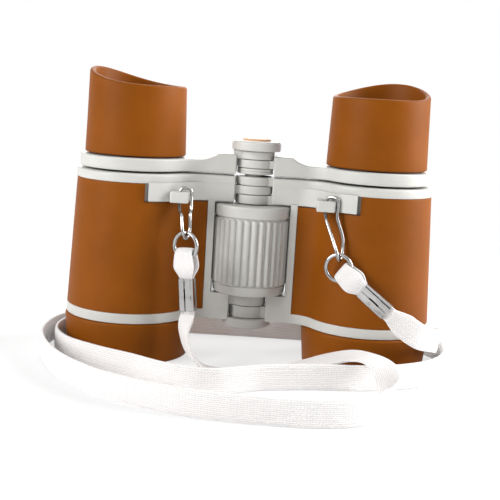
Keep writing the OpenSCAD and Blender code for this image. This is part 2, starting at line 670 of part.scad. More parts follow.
// The strap's way from the left crimp, down and across the floor, over its own inner
// run at the curl, along the front, twice round the back, and up to the right crimp.
// Each row is a point and the direction of the strap's width there.
strap_route = [
    [along(left_ring_at, left_ring_turn, left_pull, crimp_start + crimp_len + 1), across_line(left_ring_turn, left_pull)],
    [[-17.5, -20, 12], [0.5, -1, 0]],
    [[-15.5, -21.5, 6], [0.4, -1, 0]],
    [[-11, -22.5, 2], [0.2, -1, 0]],
    [[-4, -22.5, 0.9], [0, -1, 0]],
    [[6, -22.5, 1.2], [0, -1, -0.1]],
    [[16, -22.5, 3.8], [0, -1, -0.2]],
    [[24, -23.5, 6.8], [0, -1, -0.2]],
    [[31, -26, 9.1], [0, -1, -0.1]],
    [[36.5, -31, 9.6], [-0.5, -0.85, -0.1]],
    [[39.2, -38, 8.6], [-0.85, -0.4, -0.3]],
    [[39.6, -46, 6.4], [-0.7, 0, -0.7]],
    [[37, -54.5, 4.7], [-0.3, 0, -1]],
    [[31.5, -60.5, 4], [0, 0, -1]],
    [[23, -64, 3.9], [0, 0, -1]],
    [[10, -64.8, 3.9], [0, 0, -1]],
    [[-8, -63.2, 3.9], [0, 0, -1]],
    [[-24, -58, 3.9], [0, 0, -1]],
    [[-38, -49.5, 3.9], [0, 0, -1]],
    [[-49.5, -37, 3.9], [0, 0, -1]],
    [[-57.5, -22, 3.9], [0, 0, -1]],
    [[-61, -6, 3.9], [0, 0, -1]],
    [[-58.5, 11, 3.9], [0, 0, -1]],
    [[-48, 24, 3.9], [0, 0, -1]],
    [[-30, 29, 3.9], [0, 0, -1]],
    [[0, 30, 3.9], [0, 0, -1]],
    [[30, 29, 3.9], [0, 0, -1]],
    [[49, 25, 3.9], [0, 0, -1]],
    [[59.5, 12, 3.9], [0, 0, -1]],
    [[61, -3, 3.9], [0, 0, -1]],
    [[56, -16.5, 3.9], [0, 0, -1]],
    [[46.5, -25, 3.9], [0, 0, -1]],
    [[34, -29.6, 3.9], [0, 0, -1]],
    [[20, -31.6, 3.9], [0, 0, -1]],
    [[6, -35.5, 3.9], [0, 0, -1]],
    [[-8, -42.5, 3.9], [0, 0, -1]],
    [[-20, -39.8, 3.9], [0, 0, -1]],
    [[-31, -32.6, 3.9], [0, 0, -1]],
    [[-42, -26, 3.9], [0, 0, -1]],
    [[-52, -17.5, 3.9], [0, 0, -1]],
    [[-57.2, -6, 3.9], [0, 0, -1]],
    [[-55.8, 8, 3.9], [0, 0, -1]],
    [[-46, 20, 3.9], [0, 0, -1]],
    [[-30, 24, 3.9], [0, 0, -1]],
    [[0, 25, 3.9], [0, 0, -1]],
    [[30, 24, 4], [0, 0, -1]],
    [[46, 19.5, 5.2], [0, 0, -1]],
    [[55, 10.5, 7.2], [0, 0.1, -1]],
    [[58, 0, 9.2], [0.1, 0, -1]],
    [[56.5, -12.5, 11.8], [-0.3, 0.1, -1]],
    [[50, -22, 15], [-0.5, 0, -0.9]],
    [along(right_ring_at, right_ring_turn, right_pull, crimp_start + crimp_len + 1.5), -across_line(right_ring_turn, right_pull)]
];

module neck_strap() {
    steps = 2;
    inner = smooth([for (row = strap_route) row[0]], steps, false);
    turns = smooth([for (row = strap_route) row[1]], steps, false);
    path = concat([left_end], inner, [right_end]);
    across = concat([turns[0]], turns, [turns[len(turns) - 1]]);
    neck = crimp_w - 2 * crimp_wall - 0.2;
    mid = (neck + strap_w) / 2;
    last = len(path) - 1;
    widths = [for (i = [0:last]) let(k = min(i, last - i)) k < 2 ? neck : k == 2 ? mid : strap_w];
    length = [for (i = [1:last]) 1] * [for (i = [1:last]) norm(path[i] - path[i - 1])];
    echo(strap_length = length);
    color(white) strip(path, across, widths, strap_t);
}

left_barrel();
left_cover();
left_sleeve();
left_objective();
left_lens_ring();
right_barrel();
right_cover();
right_sleeve();
right_objective();
right_lens_ring();
left_arm();
left_eye_tube();
left_ocular();
left_ocular_ring();
left_eyecup();
right_arm();
right_eye_tube();
right_ocular();
right_ocular_ring();
right_eyecup();
focus_spindle();
spindle_cap();
cap_disc();
focus_wheel();
hinge_pin();
hinge_plug();
left_hook();
left_ring();
left_strap_loop();
left_crimp();
right_hook();
right_ring();
right_strap_loop();
right_crimp();
neck_strap();
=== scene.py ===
# %% [markdown]
# Toy binoculars in brown and grey plastic, with a white braided neck strap.
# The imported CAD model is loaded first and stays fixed. Every piece below is drawn in the same
# frame, so a surface worked out from the same measures lands on the CAD piece that it stands for.

# %% Load the frame
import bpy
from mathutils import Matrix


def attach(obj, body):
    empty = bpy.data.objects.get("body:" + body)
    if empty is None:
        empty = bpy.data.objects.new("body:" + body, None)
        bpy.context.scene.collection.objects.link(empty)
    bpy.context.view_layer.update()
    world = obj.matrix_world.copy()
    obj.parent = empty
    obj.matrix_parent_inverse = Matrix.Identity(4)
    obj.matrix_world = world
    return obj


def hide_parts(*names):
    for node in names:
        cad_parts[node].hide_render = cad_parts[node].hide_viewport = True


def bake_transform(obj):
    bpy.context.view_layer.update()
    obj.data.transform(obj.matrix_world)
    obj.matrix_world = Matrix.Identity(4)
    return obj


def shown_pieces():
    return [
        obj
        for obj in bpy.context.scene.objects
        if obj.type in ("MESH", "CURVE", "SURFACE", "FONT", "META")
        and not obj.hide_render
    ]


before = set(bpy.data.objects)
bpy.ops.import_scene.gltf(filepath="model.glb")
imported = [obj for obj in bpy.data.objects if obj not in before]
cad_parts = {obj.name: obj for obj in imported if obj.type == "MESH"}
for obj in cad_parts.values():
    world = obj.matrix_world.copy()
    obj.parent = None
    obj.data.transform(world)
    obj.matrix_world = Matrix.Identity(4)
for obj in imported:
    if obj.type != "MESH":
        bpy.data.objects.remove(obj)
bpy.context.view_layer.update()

import math
import bpy
import bmesh
import numpy as np
from mathutils import Matrix

# %% [markdown]
# The camera could be aimed by eye, but a real lens has one place that fits the photograph. A fit
# of hinge, barrel and eyecup points gave its position, its three turns and its focal length, so
# the camera's matrix is written from its own right, up and backward directions.

# %% Camera
MM = 0.001
CAMERA_AT = np.array([4.356, -312.99, 83.92]) * MM
YAW, PITCH, ROLL = np.radians([-0.82, 9.16, 3.483])
LENS_MM, SENSOR_MM, CLIP_M = 74.93, 36.0, 0.01

forward = np.array([math.sin(YAW) * math.cos(PITCH), math.cos(YAW) * math.cos(PITCH), -math.sin(PITCH)])
level = np.array([math.cos(YAW), -math.sin(YAW), 0.0])
upright = np.cross(level, forward)
right_axis = math.cos(ROLL) * level + math.sin(ROLL) * upright
up_axis = -math.sin(ROLL) * level + math.cos(ROLL) * upright


def add_object(name, data):
    """An object for that data, in the scene."""
    made = bpy.data.objects.new(name, data)
    bpy.context.scene.collection.objects.link(made)
    return made


def set_down(made, right, up, back, at):
    """Turns an object to its right, up and backward directions and puts it in its place."""
    rows = np.vstack([np.column_stack([right, up, back, at]), [0, 0, 0, 1]])
    made.matrix_world = Matrix(rows.tolist())


camera_data = bpy.data.cameras.new("photo_camera")
camera_data.lens = LENS_MM
camera_data.sensor_width = SENSOR_MM
camera_data.clip_start = CLIP_M
camera = add_object("photo_camera", camera_data)
set_down(camera, right_axis, up_axis, -forward, CAMERA_AT)
bpy.context.scene.camera = camera
print("camera at", np.round(CAMERA_AT, 4), "m, lens", LENS_MM, "mm")

# %% [markdown]
# Every shape here is a net of points: rows of points along one direction, columns along the
# other. One helper turns such a net into four-sided faces, and a second one makes the Blender
# object, closes the seams, turns all faces outwards and hangs the piece on its CAD body.

# %% Nets and pieces
def net_faces(rows, columns, close_rows=False, close_columns=True):
    """Faces of a net: each joins a point, the next in its row, and the two above them.
    A closed direction also joins its last line to its first."""
    i = np.arange(rows if close_rows else rows - 1)[:, None]
    j = np.arange(columns if close_columns else columns - 1)[None, :]
    up, on = (i + 1) % rows, (j + 1) % columns
    corners = [i * columns + j, i * columns + on, up * columns + on, up * columns + j]
    return np.stack(np.broadcast_arrays(*corners), axis=-1).reshape(-1, 4)


def shell(net, close_rows=False, close_columns=True):
    """A net of shape (rows, columns, 3) as a pair of points and faces."""
    rows, columns = net.shape[:2]
    return net.reshape(-1, 3), net_faces(rows, columns, close_rows, close_columns)


def joined(*shells):
    """Several shells as one: each one's face numbers move up by the points before it."""
    starts = np.cumsum([0] + [len(points) for points, faces in shells])
    faces = [faces + start for (points, faces), start in zip(shells, starts)]
    return np.concatenate([points for points, faces in shells]), np.concatenate(faces)


MERGE = 2e-6
SHARP = math.radians(38)


def make_piece(name, shape, body, nodes=(), uv=None):
    """A Blender mesh from points in millimetres and faces, on its body, with the CAD nodes that it stands
    for hidden.
    Points that fall together are merged, which closes poles and seams."""
    points, faces = shape
    mesh = bpy.data.meshes.new(name)
    mesh.from_pydata((points * MM).tolist(), [], faces.tolist())
    if uv is not None:
        layer = mesh.uv_layers.new(name="along")
        layer.data.foreach_set("uv", uv[faces.reshape(-1)].astype(np.float32).reshape(-1))
    work = bmesh.new()
    work.from_mesh(mesh)
    bmesh.ops.remove_doubles(work, verts=work.verts, dist=MERGE)
    bmesh.ops.recalc_face_normals(work, faces=work.faces)
    work.to_mesh(mesh)
    work.free()
    mesh.shade_smooth()
    mesh.set_sharp_from_angle(angle=SHARP)
    piece = add_object(name, mesh)
    if body:
        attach(piece, body)
    if nodes:
        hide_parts(*nodes)
    print(name, len(mesh.vertices), "points", len(mesh.polygons), "faces")
    return piece


RIGHT_FIRST = ("right", "left")


def make_pair(name, shapes, body, node, sides=("left", "right")):
    """Two pieces from two shapes, named for their sides, each on the body of its side."""
    return [make_piece(f"{side}_{name}", shape, f"{side}_{body}", [f"{side}_{node}"])
            for side, shape in zip(sides, shapes)]


# %% [markdown]
# The neck strap is one long flat braid. It could be a Blender curve with a flat bevel, but a
# curve twists freely, while here the way the strap stands on edge matters. So its route is a list
# of points, each with the direction of the strap's width, and a smooth cubic passes through all.

# %% Route of the neck strap
def smooth_line(points, steps, closed=False):
    """A cubic through each point, whose slope there is half the step between its neighbours.
    Each span between two points is cut into equal steps."""
    points = np.asarray(points, float)
    count = len(points)
    spans = np.arange(count if closed else count - 1)[:, None] + np.arange(-1, 3)
    spans = spans % count if closed else np.clip(spans, 0, count - 1)
    a, b, c, d = np.moveaxis(points[spans], 1, 0)[:, :, None, :]
    t = (np.arange(steps) / steps)[None, :, None]
    line = 0.5 * (2 * b + (c - a) * t + (2 * a - 5 * b + 4 * c - d) * t ** 2
                  + (3 * b - a - 3 * c + d) * t ** 3)
    line = line.reshape(-1, points.shape[1])
    return line if closed else np.vstack([line, points[-1:]])


def distance_along(path):
    """The distance from a path's first point to each of its points, step by step."""
    return np.concatenate([[0.0], np.cumsum(np.linalg.norm(np.diff(path, axis=0), axis=1))])


RING_R = 3.8
CRIMP_START, CRIMP_LEN, INTO_CRIMP = RING_R + 5.6, 9.4, 3.0
RIGHT_RING, RIGHT_TURN, RIGHT_PULL = np.array([25.8, -18.75, 32.9]), -20.0, 36.0
LEFT_RING, LEFT_TURN, LEFT_PULL = np.array([-18.4, -18.75, 36.5]), -28.0, 84.0


def pull_axes(turn, pull):
    """Three directions of a strap end: along its pull, level across it, and along its width."""
    t, p = np.radians([turn, pull])
    along = np.array([np.cos(t) * np.cos(p), np.sin(t) * np.cos(p), -np.sin(p)])
    level = np.array([-np.sin(t), np.cos(t), 0.0])
    wide = np.array([np.cos(t) * np.sin(p), np.sin(t) * np.sin(p), np.cos(p)])
    return np.stack([along, level, wide])


left_axes, right_axes = pull_axes(LEFT_TURN, LEFT_PULL), pull_axes(RIGHT_TURN, RIGHT_PULL)
crimp_end = CRIMP_START + CRIMP_LEN
left_end = LEFT_RING + (crimp_end - INTO_CRIMP) * left_axes[0]
right_end = RIGHT_RING + (crimp_end - INTO_CRIMP) * right_axes[0]
ON_EDGE = [0, 0, -1]
ROUTE_START = [
    [-17.5, -20, 12, 0.5, -1, 0], [-15.5, -21.5, 6, 0.4, -1, 0], [-11, -22.5, 2, 0.2, -1, 0],
    [-4, -22.5, 0.9, 0, -1, 0], [6, -22.5, 1.2, 0, -1, -0.1], [16, -22.5, 3.8, 0, -1, -0.2],
    [24, -23.5, 6.8, 0, -1, -0.2], [31, -26, 9.1, 0, -1, -0.1], [36.5, -31, 9.6, -0.5, -0.85, -0.1],
    [39.2, -38, 8.6, -0.85, -0.4, -0.3], [39.6, -46, 6.4, -0.7, 0, -0.7],
    [37, -54.5, 4.7, -0.3, 0, -1], [31.5, -60.5, 4, 0, 0, -1],
]
ROUTE_LEVEL = [
    [23, -64], [10, -64.8], [-8, -63.2], [-24, -58], [-38, -49.5], [-49.5, -37], [-57.5, -22],
    [-61, -6], [-58.5, 11], [-48, 24], [-30, 29], [0, 30], [30, 29], [49, 25], [59.5, 12], [61, -3],
    [56, -16.5], [46.5, -25], [34, -29.6], [20, -31.6], [6, -35.5], [-8, -42.5], [-20, -39.8],
    [-31, -32.6], [-42, -26], [-52, -17.5], [-57.2, -6], [-55.8, 8], [-46, 20], [-30, 24], [0, 25],
]
ROUTE_FINISH = [
    [30, 24, 4, 0, 0, -1], [46, 19.5, 5.2, 0, 0, -1], [55, 10.5, 7.2, 0, 0.1, -1],
    [58, 0, 9.2, 0.1, 0, -1], [56.5, -12.5, 11.8, -0.3, 0.1, -1], [50, -22, 15, -0.5, 0, -0.9],
]
STANDING_Z = 3.9
route_rows = np.array(
    [[*(LEFT_RING + (crimp_end + 1) * left_axes[0]), *left_axes[2]]] + ROUTE_START
    + [[x, y, STANDING_Z, *ON_EDGE] for x, y in ROUTE_LEVEL] + ROUTE_FINISH
    + [[*(RIGHT_RING + (crimp_end + 1.5) * right_axes[0]), *-right_axes[2]]])
route = smooth_line(route_rows, 12)
strap_path = np.vstack([left_end, route[:, :3], right_end])
strap_wide = np.vstack([route[:1, 3:], route[:, 3:], route[-1:, 3:]])
strap_along = distance_along(strap_path)
print("strap length", round(strap_along[-1]), "mm")

# %% [markdown]
# The braid's section is a flat oval with fine ribs along its length, like the plaited cords of a
# real strap. A bump in the material could fake the ribs, but they show at the outline, so the
# section itself carries them. The section is then carried along the route.

# %% Strap
STRAP_W, STRAP_T, STRAP_RIBS, RIB_DEPTH = 7.4, 1.2, 7, 0.09


def unit(vectors):
    """Each vector divided by its own length."""
    return vectors / np.linalg.norm(vectors, axis=-1, keepdims=True)


def circle(count):
    """That many equal angles round a full turn."""
    return np.arange(count) * 2 * np.pi / count


def braid_section(thickness, points=88):
    """A flat oval, one unit wide: a circle whose height is drawn out towards its edges, with
    a cosine across it for the ribs. Columns: place across, height, and a 0 to 1 place across."""
    a = circle(points)
    across = np.sign(np.cos(a)) * np.abs(np.cos(a)) ** 0.8
    high = np.sign(np.sin(a)) * np.abs(np.sin(a)) ** 0.45
    ribs = RIB_DEPTH * (np.cos(2 * np.pi * STRAP_RIBS * (across + 1) / 2) - 1) / 2
    return np.stack([across / 2, high * (thickness / 2 + ribs), (across + 1) / 2], axis=1)


def carry_braid(path, wide, widths, thickness):
    """Carries the braid's section along a path. Its width follows the given direction, made
    square to the path, and its thickness the direction square to both. Ends are drawn closed."""
    go = unit(np.gradient(path, axis=0))
    w = unit(wide - np.sum(wide * go, axis=1, keepdims=True) * go)
    u = np.cross(go, w)
    section = braid_section(thickness)
    net = (path[:, None] + section[None, :, :1] * widths[:, None, None] * w[:, None]
           + section[None, :, 1:2] * u[:, None])
    net = np.concatenate([np.repeat(path[None, :1], net.shape[1], 1), net,
                          np.repeat(path[None, -1:], net.shape[1], 1)])
    run = distance_along(path)
    run = np.concatenate([run[:1], run, run[-1:]]) / STRAP_W
    uv = np.stack(np.broadcast_arrays(run[:, None], section[None, :, 2]), axis=-1)
    return shell(net), uv.reshape(-1, 2)


CRIMP_W, CRIMP_T, CRIMP_WALL = 5.0, 3.0, 0.35
NECK_W = CRIMP_W - 2 * CRIMP_WALL - 0.2
NECK_LEN, SPREAD_LEN, SPREAD_POWER = 4.0, 5.0, 0.8
from_ends = np.minimum(strap_along, strap_along[-1] - strap_along)
widening = np.clip((from_ends - NECK_LEN) / SPREAD_LEN, 0, 1) ** SPREAD_POWER
strap_widths = NECK_W + (STRAP_W - NECK_W) * widening
strap_shape, strap_uv = carry_braid(strap_path, strap_wide, strap_widths, STRAP_T)
neck_strap = make_piece("braided_strap", strap_shape, None, ["neck_strap"], strap_uv)
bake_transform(neck_strap)

# %% [markdown]
# At each end the strap is doubled through a ring. The doubled end is the same braid, thinner,
# carried round a small loop, and narrowed where the metal crimp nips it.

# %% Strap ends
RING_WIRE, LOOP_T = 0.6, 0.85


def place_end(points, at, axes):
    """Local points become the ring's centre plus x along the pull, y level and z wide."""
    return at + points @ axes


def loop_shape(at, axes):
    """The doubled strap end: up one side of the ring's wire, round it, and down the other."""
    over, tuck = RING_WIRE + 0.35 + LOOP_T / 2, LOOP_T / 2 + 0.06
    side = np.array([[CRIMP_START + INTO_CRIMP, tuck, NECK_W], [CRIMP_START, tuck, NECK_W],
                     [CRIMP_START - 3, over * 0.95, STRAP_W * 0.9], [RING_R, over, STRAP_W * 0.86],
                     [1.9, over * 0.9, STRAP_W * 0.76]])
    rows = np.vstack([side, [[0.9, 0, STRAP_W * 0.74]], side[::-1] * [1, -1, 1]])
    line = smooth_line(rows, 10)
    local = np.column_stack([line[:, :2], np.zeros(len(line))])
    wide = np.repeat(axes[2:3], len(line), 0)
    return carry_braid(place_end(local, at, axes), wide, line[:, 2], LOOP_T)


ENDS = [(RIGHT_RING, right_axes), (LEFT_RING, left_axes)]
right_loop, left_loop = [
    make_piece(side + "_braid_loop", loop, side + "_half", [side + "_strap_loop"], loop_uv)
    for side, (loop, loop_uv) in zip(RIGHT_FIRST, [loop_shape(*end) for end in ENDS])]

# %% [markdown]
# The crimps are strips of plated sheet folded round the braid, with an open seam in front. A
# Solidify modifier could give a sheet its wall, but writing the outer and the inner face as one
# closed section keeps the seam's edges round and lets the fold bulge a little in the middle.

# %% Crimps
def round_corners(points, radii, steps=6, closed=True):
    """Each corner becomes an arc that touches both its sides: the arc's centre lies on the
    corner's bisector, and the arc turns from one touching point to the other."""
    points = np.asarray(points, float)
    radii = np.broadcast_to(np.asarray(radii, float), (len(points),))
    to_last = np.roll(points, 1, 0) - points
    to_next = np.roll(points, -1, 0) - points
    reach = 0.49 * np.minimum(np.linalg.norm(to_last, axis=1), np.linalg.norm(to_next, axis=1))
    u, w = unit(to_last), unit(to_next)
    half = np.arccos(np.clip(np.sum(u * w, axis=1), -1, 1)) / 2
    radii = np.minimum(radii, reach * np.tan(half))
    middle = unit(u + w + 1e-12)
    centre = points + middle * (radii / np.sin(half))[:, None]
    touch = (radii / np.tan(half))[:, None]
    start, stop = points + u * touch - centre, points + w * touch - centre
    turn = (np.pi - 2 * half)[:, None, None] + 1e-9
    t = np.linspace(0, 1, steps)[None, :, None]
    arcs = (np.sin((1 - t) * turn) * start[:, None] + np.sin(t * turn) * stop[:, None]) / np.sin(turn)
    arcs = centre[:, None] + arcs
    if not closed:
        arcs[0], arcs[-1] = points[0], points[-1]
    return arcs.reshape(-1, 2)


def crimp_shape(at, axes):
    """A rounded rectangle open by a seam, its outer points first and its inner points back, set
    out along the pull. Its thickness swells as a sine of the length, and the end rows fall to the
    middle of the wall, which closes them."""
    w, t, seam = CRIMP_W / 2, CRIMP_T / 2, 0.25
    corners = np.array([[-seam, -t], [-w, -t], [-w, t], [w, t], [w, -t], [seam, -t]])
    outer = round_corners(corners, [0, 0.9, 0.9, 0.9, 0.9, 0], closed=False)
    wall = CRIMP_WALL * np.array([[0, 1], [1, 1], [1, 1], [1, 1], [1, 1], [0, 1]])
    inner = round_corners(corners - np.sign(corners) * wall, [0, 0.55, 0.55, 0.55, 0.55, 0], closed=False)
    ring, middle = np.vstack([outer, inner[::-1]]), (outer + inner) / 2
    middle = np.vstack([middle, middle[::-1]])
    s = np.linspace(0, 1, 25)
    swell = 1 + 0.05 * np.sin(np.pi * s) - 0.06 * np.exp(-((s - 0.5) / 0.09) ** 2)
    body = ring[None] * np.stack([np.ones_like(s), swell], 1)[:, None]
    rows = np.concatenate([middle[None], body, middle[None]])
    s = np.concatenate([[0], s, [1]])
    along = np.broadcast_to((CRIMP_START + s * CRIMP_LEN)[:, None], rows.shape[:2])
    local = np.stack([along, rows[..., 1], -rows[..., 0]], axis=-1)
    return shell(place_end(local, at, axes))


crimps = [crimp_shape(*end) for end in ENDS]
right_crimp, left_crimp = make_pair("folded_crimp", crimps, "half", "crimp", RIGHT_FIRST)

# %% [markdown]
# The rings and hooks are bent from round wire. A curve with a round bevel would do, but a tube
# worked out as a net keeps its place in its mesh, as the other pieces do. Each hook goes up through
# the hole of its lug, over the lug's wall and down to a long eye that carries the ring.

# %% Rings and hooks
def wire_tube(path, radius, aside, sides=18):
    """A circle carried along a closed path, in the plane square to the path. The direction
    aside, which the path never follows, says where the circle starts."""
    go = unit(np.roll(path, -1, 0) - np.roll(path, 1, 0))
    w = unit(np.cross(go, np.asarray(aside, float)))
    u = np.cross(go, w)
    a = circle(sides)
    return shell(path[:, None] + radius * (np.cos(a)[None, :, None] * w[:, None]
                                           + np.sin(a)[None, :, None] * u[:, None]), close_rows=True)


def ring_shape(at, turn, points=96):
    """A circle in an upright plane that is turned about the upright through its centre."""
    a = circle(points)
    t = math.radians(turn)
    flat = np.array([math.cos(t), math.sin(t), 0.0])
    path = at + RING_R * (np.cos(a)[:, None] * flat + np.sin(a)[:, None] * np.array([0, 0, 1.0]))
    return wire_tube(path, RING_WIRE, [-math.sin(t), math.cos(t), 0])


LUG_X, LUG_W, LUG_Y, LUG_HOLE_R = 21.2, 5.4, 16.2, 1.3
HOLE_Y, LUG_TOP, HOOK_WIRE = LUG_HOLE_R + 1.3 - LUG_Y, 51.5, 0.5


def hook_shape(side, lean, ahead, drop):
    """The hook's bends, from the top of the lug's hole, joined by a smooth closed cubic. lean moves
    the eye aside, ahead moves the outer leg clear of the block, and drop is the eye's depth."""
    out = LUG_W / 2 + HOOK_WIRE + 0.25
    bends = [[0, 0, -3.6], [0, 0, -1.6], [0.35, 0, 0.5], [out / 2, -ahead / 2, 1.1],
             [out - 0.2, -ahead, 0.5], [out, -ahead - 0.1, -1.6], [out + 0.1, -max(1, ahead + 0.3), -5],
             [2.9 + lean, -2.7, 4.2 - drop], [3.1 + lean, -3.4, -drop], [2.5 + lean, -4.5, -2 - drop],
             [1.9 + lean, -5.8, -2 - drop], [1.3 + lean, -6.9, -drop], [0.9 + lean / 2, -5, 4.2 - drop],
             [0.4, -2.2, -5.8]]
    path = smooth_line(bends, 10, closed=True) + np.array([side * LUG_X, HOLE_Y, LUG_TOP])
    return wire_tube(path, HOOK_WIRE, [1, 1, 0])


rings = [ring_shape(RIGHT_RING, RIGHT_TURN), ring_shape(LEFT_RING, LEFT_TURN)]
right_ring, left_ring = make_pair("wire_ring", rings, "half", "ring", RIGHT_FIRST)
hooks = [hook_shape(1, lean=2.4, ahead=1.6, drop=14.2), hook_shape(-1, lean=0.6, ahead=0, drop=10.6)]
right_hook, left_hook = make_pair("wire_hook", hooks, "half", "hook", RIGHT_FIRST)

# %% [markdown]
# The strap's length is the length that its route measures. Both its ends go
# back into the object, through the crimps, loops, rings and hooks.

# %% [markdown]
# Each half of the body is a barrel joined to the hinge by a web, with hollows between them. The
# plan is one line: along the web, round the hollow, round the barrel and back. An inset of the
# plan only changes its radii, so a plate with round edges is that line carried up with an inset
# that follows a quarter circle. That is exact, where a Bevel modifier would have to guess.

# %% Plans and plates
AX, WEB, FILLET, WEB_END, CORNER = 36.2, 4.8, 8.0, 5.65, 0.25


def half_plan(r, inset, bore, stop=None):
    """Plan of the left half, from the hinge end along the front of the web, round the hollow and
    the barrel of radius r, and back. With stop, the barrel is cut off at that distance from its
    axis, and the cut runs in to the bore. The back is the front mirrored."""
    rr, h, f, c = r - inset, WEB - inset, FILLET + inset, max(CORNER - inset, 0.02)
    run = math.sqrt((rr + f) ** 2 - (h + f) ** 2)
    turn = math.atan2(h + f, run)
    a = np.linspace(0, np.pi / 2, 6)
    bend = np.column_stack([-WEB_END - inset - c + c * np.cos(a), c - h - c * np.sin(a)])
    x = np.linspace(-WEB_END - inset - c, run - AX, 26)[1:-1]
    straight = np.column_stack([x, np.full_like(x, -h)])
    a = np.linspace(np.pi / 2, np.pi - turn, 18)
    hollow = np.column_stack([run - AX + f * np.cos(a), f * np.sin(a) - h - f])
    last = np.pi if stop is None else math.acos((stop + inset) / rr)
    a = np.linspace(turn, last, 60)[1:]
    barrel = np.column_stack([rr * np.cos(a) - AX, -rr * np.sin(a)])
    front = np.vstack([bend, straight, hollow, barrel])
    if stop is not None:
        front = np.vstack([front, [[stop - AX, -math.sqrt(bore ** 2 - stop ** 2)]]])
    return np.vstack([front, front[::-1] * [1, -1]])


def plate(r, z0, z1, low_edge, high_edge, bore, rise=None, stop=None):
    """A plate of that plan: its floor is drawn in to the bore's circle, or to the middle line beside
    it, its sides have quarter circles below and above, and its roof is drawn in again. Walls on
    the middle line and across the bore are left out. rise adds height along x."""
    a = np.linspace(0, np.pi / 2, 7)
    inset = np.concatenate([[low_edge] * 2, low_edge * (1 - np.sin(a)), high_edge * (1 - np.cos(a)),
                            [high_edge] * 2])
    z = np.concatenate([[z0] * 2, z0 + low_edge * (1 - np.cos(a)), z1 - high_edge * (1 - np.sin(a)),
                        [z1] * 2])
    draw = np.concatenate([[0, 0.5], np.ones(14), [0.5, 0]])
    lift = np.concatenate([np.zeros(9), np.ones(9)])
    x, y = np.moveaxis(np.stack([half_plan(r, d, bore, stop=stop) for d in inset]), -1, 0)
    rim = np.sign(y) * np.sqrt(np.clip(bore ** 2 - (x + AX) ** 2, 0, None))
    up = z[:, None] + (lift[:, None] * rise(x) if rise else 0) + 0 * x
    points, faces = shell(np.dstack([x, rim + (y - rim) * draw[:, None], up]), close_rows=True)
    left_out = np.abs(points[faces][:, :, 1]).max(axis=1) < 1e-6
    if stop is not None:
        left_out |= faces[:, 0] % x.shape[1] == x.shape[1] // 2 - 1
    return points, faces[~left_out]


def turned(profile, x=0.0, sides=144):
    """A profile of radius and height, swung round an upright axis at x."""
    profile, a = np.asarray(profile, float), circle(sides)
    return np.stack(np.broadcast_arrays(
        x + profile[:, :1] * np.cos(a), profile[:, :1] * np.sin(a), profile[:, 1:]), axis=-1)


def mirrored(shape):
    """The same shape on the other side of the hinge: x changes its sign."""
    return shape[0] * np.array([-1.0, 1.0, 1.0]), shape[1]


# %% [markdown]
# The grey body of a half: the band above the sleeve, the flange on top, the tall block below the
# flange, the tube inside, the web beside and below the wheel, the lug and the hinge knuckles. Each is
# a shell of its own, and the shells of one half make one mesh, as the real half is one moulding.

# %% Grey bodies
BAND_Z, COVER_Z, BLOCK_Z, FLANGE_Z, BARREL_TOP = 12.4, 15.4, 48.3, 53.4, 56.1
BAND_R, FLANGE_R, BLOCK_R, BLOCK_START = 19.0, 17.1, 18.4, 6.3
COVER_EDGE, WELL_R, KNUCKLE_R, LOWER_WEB = 13.5, 12.3, 5.55, 4.82
STRIP_BACK, STRIP_Z, LOWER_WEB_TOP = 0.15 - COVER_EDGE, 20.2, 20.5
CORE_FROM, CORE_TO, CORE_HALF = -18.0, -12.6, 3.2
BARREL_BORE, FLANGE_BORE, ARM_BORE = 14.2, 12.7, 12.35
TUBE = [[13.6, 9.0], [14.85, 9.0], [14.85, 1.5], [16.65, 1.5], [16.65, 12.5], [17.2, 15.4], [15.3, 53.5],
        [13.6, 53.5]]


def oblong(x0, x1, half):
    """Four corners: x0 and x1 at the front, x1 and x0 at the back."""
    return np.array([[x0, -half], [x1, -half], [x1, half], [x0, half]])


def prism(ring, z0, z1):
    """A closed outline carried up from z0 to z1, with both ends drawn in to their middle."""
    middle = np.broadcast_to(ring.mean(0), ring.shape)
    rows = np.stack([middle, ring, ring, middle])
    z = np.array([z0, z0, z1, z1])[:, None] + np.zeros(len(ring))
    return shell(np.dstack([rows, z]))


def lower_web():
    """The plain grey web below the wheel, from the strip to the hinge, its upright corners eased."""
    corners = round_corners(oblong(STRIP_BACK, -WEB_END, LOWER_WEB), [0, 0.2, 0.2, 0])
    return prism(corners, COVER_Z - 0.4, LOWER_WEB_TOP)


def web_strip(z0, z1):
    """The strip of web beside the wheel: flat in front and behind, hollowed round the wheel. Its
    core runs on under the cover, so no light comes through the seam."""
    a = math.asin(WEB / WELL_R)
    t = np.linspace(-a, a, 15)
    hollow = np.column_stack([-WELL_R * np.cos(t), WELL_R * np.sin(t)])
    back = np.column_stack([np.full(15, STRIP_BACK), hollow[:, 1]])
    ring = np.vstack([hollow, back[::-1]])
    return joined(prism(ring, z0, z1), prism(oblong(CORE_FROM, CORE_TO, CORE_HALF), COVER_Z - 0.2, z1))


